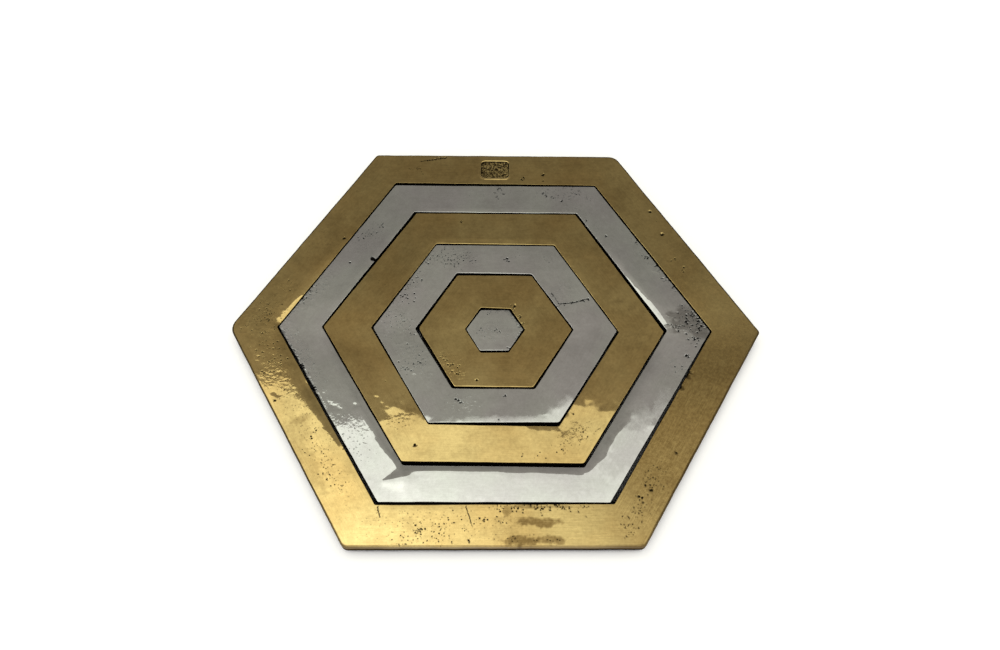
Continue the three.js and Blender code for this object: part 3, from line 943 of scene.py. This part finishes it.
# Pressed cork: tan and brown granules about 1.3 mm across in a dark binder, matt and slightly crumbly
cork = bpy.data.materials.new("pressed_granule_cork")
cork_tree = emptied_tree(cork)
cork_place = add(cork_tree, "ShaderNodeTexCoord").outputs["Object"]
granules = add(cork_tree, "ShaderNodeTexVoronoi", {"Vector": cork_place, "Scale": per(GRANULE)})
granule_edges = add(
    cork_tree, "ShaderNodeTexVoronoi", {"Vector": cork_place, "Scale": per(GRANULE)},
    feature="DISTANCE_TO_EDGE",
)
granule_shade = add(cork_tree, "ShaderNodeSeparateColor", {"Color": granules.outputs["Color"]})
granule_colour = add(
    cork_tree, "ShaderNodeMix",
    {"Factor": granule_shade.outputs["Red"], "A": linear("#C79A68"), "B": linear("#8E6239")},
    data_type="RGBA",
)
binder = add(
    cork_tree, "ShaderNodeMapRange",
    {
        "Value": granule_edges.outputs["Distance"], "From Min": 0.02, "From Max": 0.1,
        "To Min": 0.8, "To Max": 0.0,
    },
)
cork_colour = add(
    cork_tree, "ShaderNodeMix",
    {"Factor": binder.outputs["Result"], "A": granule_colour.outputs["Result"], "B": linear("#4E331C")},
    data_type="RGBA",
)
pores = add(cork_tree, "ShaderNodeTexNoise", {"Vector": cork_place, "Scale": per(0.4), "Detail": 3.0})
cork_bump = add(
    cork_tree, "ShaderNodeBump", {"Height": pores.outputs["Fac"], "Strength": 0.5, "Distance": 0.15 * MM}
)
cork_roughness = add(
    cork_tree, "ShaderNodeMapRange", {"Value": pores.outputs["Fac"], "To Min": 0.75, "To Max": 0.95}
)
cork_shader = add(
    cork_tree, "ShaderNodeBsdfPrincipled",
    {
        "Base Color": cork_colour.outputs["Result"], "Roughness": cork_roughness.outputs["Result"],
        "Normal": cork_bump.outputs["Normal"],
    },
)
add(cork_tree, "ShaderNodeOutputMaterial", {"Surface": cork_shader.outputs["BSDF"]})


def cork_foot(node):
    """One cork disc in the place of a foot: its section is spun, and its granules stand out unevenly."""
    low, high = (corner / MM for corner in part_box(node))
    middle = (low + high) / 2
    radius = (high.x - low.x) / 2
    bm = bmesh.new()
    drawn = [
        (0, low.z), (radius - FOOT_CHAMFER, low.z), (radius, low.z + FOOT_CHAMFER), (radius, high.z),
        (0, high.z),
    ]
    section = [bm.verts.new((x, 0, z)) for x, z in drawn]
    flats = [bm.edges.new(pair) for pair in zip(section, section[1:])]
    bmesh.ops.subdivide_edges(bm, edges=[flats[0]], cuts=9)
    bmesh.ops.subdivide_edges(bm, edges=[flats[2]], cuts=3)
    spin_round(bm, steps=48, join_within=0.001)
    bmesh.ops.translate(bm, vec=(middle.x, middle.y, 0), verts=bm.verts[:])
    bm.normal_update()
    for vert in bm.verts:
        if vert.co.z < high.z - 0.01:
            vert.co -= vert.normal * GRANULE_RELIEF * (0.5 + 0.5 * noise.cell(vert.co / GRANULE))
    return make_piece(bm, "cork_" + node, cork, crease=35)


for body, nodes in frame["record"]["behaviour"]["bodies"].items():
    for node in nodes:
        if "_foot" in node:
            foot = cork_foot(node)
            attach(foot, body)
            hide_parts(node)


# Floor: a plain table top, painted matt white and wide enough to fill the view. It lies a hair below the
# feet, so that none of them sinks into it.
floor_radius = 4.0
below_feet = 0.2 * MM
floor_bm = bmesh.new()
bmesh.ops.create_circle(floor_bm, cap_ends=True, segments=96, radius=floor_radius)
bmesh.ops.translate(floor_bm, vec=(0, 0, -below_feet), verts=floor_bm.verts[:])
floor_mesh = bpy.data.meshes.new("floor")
floor_bm.to_mesh(floor_mesh)
floor_bm.free()
floor = bpy.data.objects.new("floor", floor_mesh)
bpy.context.scene.collection.objects.link(floor)

# Matt white paint. Camera and mirror rays also see it glow, so that in the open it reaches white; the glow
# fades near the castings, so that their shadow stays. Deep in the gaps between the castings, where little is
# open above it, its colour goes black: painted shade.
white = bpy.data.materials.new("white_floor_with_painted_gap_shade")
white_tree = emptied_tree(white)
seen = add(white_tree, "ShaderNodeLightPath")
seen_or_mirrored = add(
    white_tree, "ShaderNodeMath",
    {0: seen.outputs["Is Camera Ray"], 1: seen.outputs["Is Glossy Ray"]}, operation="MAXIMUM",
)
open_above = add(white_tree, "ShaderNodeAmbientOcclusion", {"Distance": 30 * MM}, samples=8)
beside_mat = add(
    white_tree, "ShaderNodeMapRange",
    {"Value": open_above.outputs["AO"], "From Min": 0.3, "From Max": 0.55, "To Min": 0.0, "To Max": 0.4},
)
lift = add(
    white_tree, "ShaderNodeMath",
    {0: seen_or_mirrored.outputs["Value"], 1: beside_mat.outputs["Result"]}, operation="MULTIPLY",
)
out_of_gaps = add(
    white_tree, "ShaderNodeMapRange",
    {"Value": open_above.outputs["AO"], "From Min": 0.2, "From Max": 0.45, "To Min": 0.0, "To Max": 1.0},
)
# Painted shade: the colour turns black where ambient occlusion finds little open above, deep in the gaps
paint_and_gap_shade = add(
    white_tree, "ShaderNodeMix",
    {"Factor": out_of_gaps.outputs["Result"], "A": linear("#0A0908"), "B": linear("#EAEAEA")},
    data_type="RGBA",
)
matt = add(
    white_tree, "ShaderNodeBsdfPrincipled",
    {
        "Base Color": paint_and_gap_shade.outputs["Result"], "Roughness": 0.9, "Specular IOR Level": 0.1,
        "Emission Color": linear("#FFFFFF"), "Emission Strength": lift.outputs["Value"],
    },
)
add(white_tree, "ShaderNodeOutputMaterial", {"Surface": matt.outputs["BSDF"]})
floor_mesh.materials.append(white)


# Light: a softbox over the mat, another behind the camera, and a warm grey room that is white at the
# horizon and a little brighter on the left. The far edge of the softbox overhead is mirrored in the
# polished tops.
def softbox(name, middle, aim, size, brightness):
    """A square-edged area lamp of even brightness, where 1 is white."""
    lamp = bpy.data.lights.new(name, "AREA")
    lamp.shape = "RECTANGLE"
    lamp.size, lamp.size_y = size
    lamp.energy = brightness * math.pi * size[0] * size[1]
    holder = bpy.data.objects.new(name, lamp)
    holder.location = middle
    holder.rotation_euler = (Vector(aim) - Vector(middle)).to_track_quat("-Z", "Y").to_euler()
    holder.visible_camera = False
    bpy.context.scene.collection.objects.link(holder)
    return lamp


overhead = softbox(
    "overhead_softbox", middle=(0, 0.115, 1.0), aim=(0, 0.115, 0), size=(1.2, 0.83), brightness=1.0
)
softbox("front_softbox", middle=(0, -1.5, 1.2), aim=(0, 0, 0), size=(1.5, 1.0), brightness=1.5)

# The overhead softbox is dimmer towards its far edge and on the right
overhead_tree = emptied_tree(overhead)
on_softbox = add(overhead_tree, "ShaderNodeNewGeometry")
across_softbox = add(overhead_tree, "ShaderNodeSeparateXYZ", {"Vector": on_softbox.outputs["Parametric"]})
glow = add(
    overhead_tree, "ShaderNodeMapRange",
    {"Value": across_softbox.outputs["Y"], "From Min": 0.7, "From Max": 0.9, "To Min": 1.6, "To Max": 1.02},
)
left_to_right = add(
    overhead_tree, "ShaderNodeMapRange",
    {"Value": across_softbox.outputs["X"], "From Min": 0.38, "From Max": 0.58, "To Min": 1.1, "To Max": 0.82},
)
fading = add(
    overhead_tree, "ShaderNodeMath",
    {0: glow.outputs["Result"], 1: left_to_right.outputs["Result"]}, operation="MULTIPLY",
)
lit = add(
    overhead_tree, "ShaderNodeEmission", {"Color": (1.0, 1.02, 0.9, 1.0), "Strength": fading.outputs["Value"]}
)
add(overhead_tree, "ShaderNodeOutputLight", {"Surface": lit.outputs["Emission"]})

# The room's colours rise from the horizon, at 0, to straight overhead, at 1
room = bpy.data.worlds.new("grey_room")
bpy.context.scene.world = room
room_tree = emptied_tree(room)
direction = add(room_tree, "ShaderNodeTexCoord")
heading = add(room_tree, "ShaderNodeSeparateXYZ", {"Vector": direction.outputs["Generated"]})
walls = add(room_tree, "ShaderNodeValToRGB", {"Fac": heading.outputs["Z"]})
walls.color_ramp.elements[0].position = 0.26
walls.color_ramp.elements[0].color = linear("#FFFFFF")
walls.color_ramp.elements[1].position = 0.90
walls.color_ramp.elements[1].color = linear("#BAB4A8")
for wall_height, wall_colour in ((0.5, "#8F8A80"), (0.80, "#908B81"), (0.845, "#A9A397"), (0.87, "#B6B0A4")):
    walls.color_ramp.elements.new(wall_height).color = linear(wall_colour)
left_wall = add(
    room_tree, "ShaderNodeMapRange",
    {"Value": heading.outputs["X"], "From Min": -0.22, "From Max": -0.1, "To Min": 1.22, "To Max": 1.0},
)
backdrop = add(
    room_tree, "ShaderNodeBackground",
    {"Color": walls.outputs["Color"], "Strength": left_wall.outputs["Result"]},
)
add(room_tree, "ShaderNodeOutputWorld", {"Surface": backdrop.outputs["Background"]})
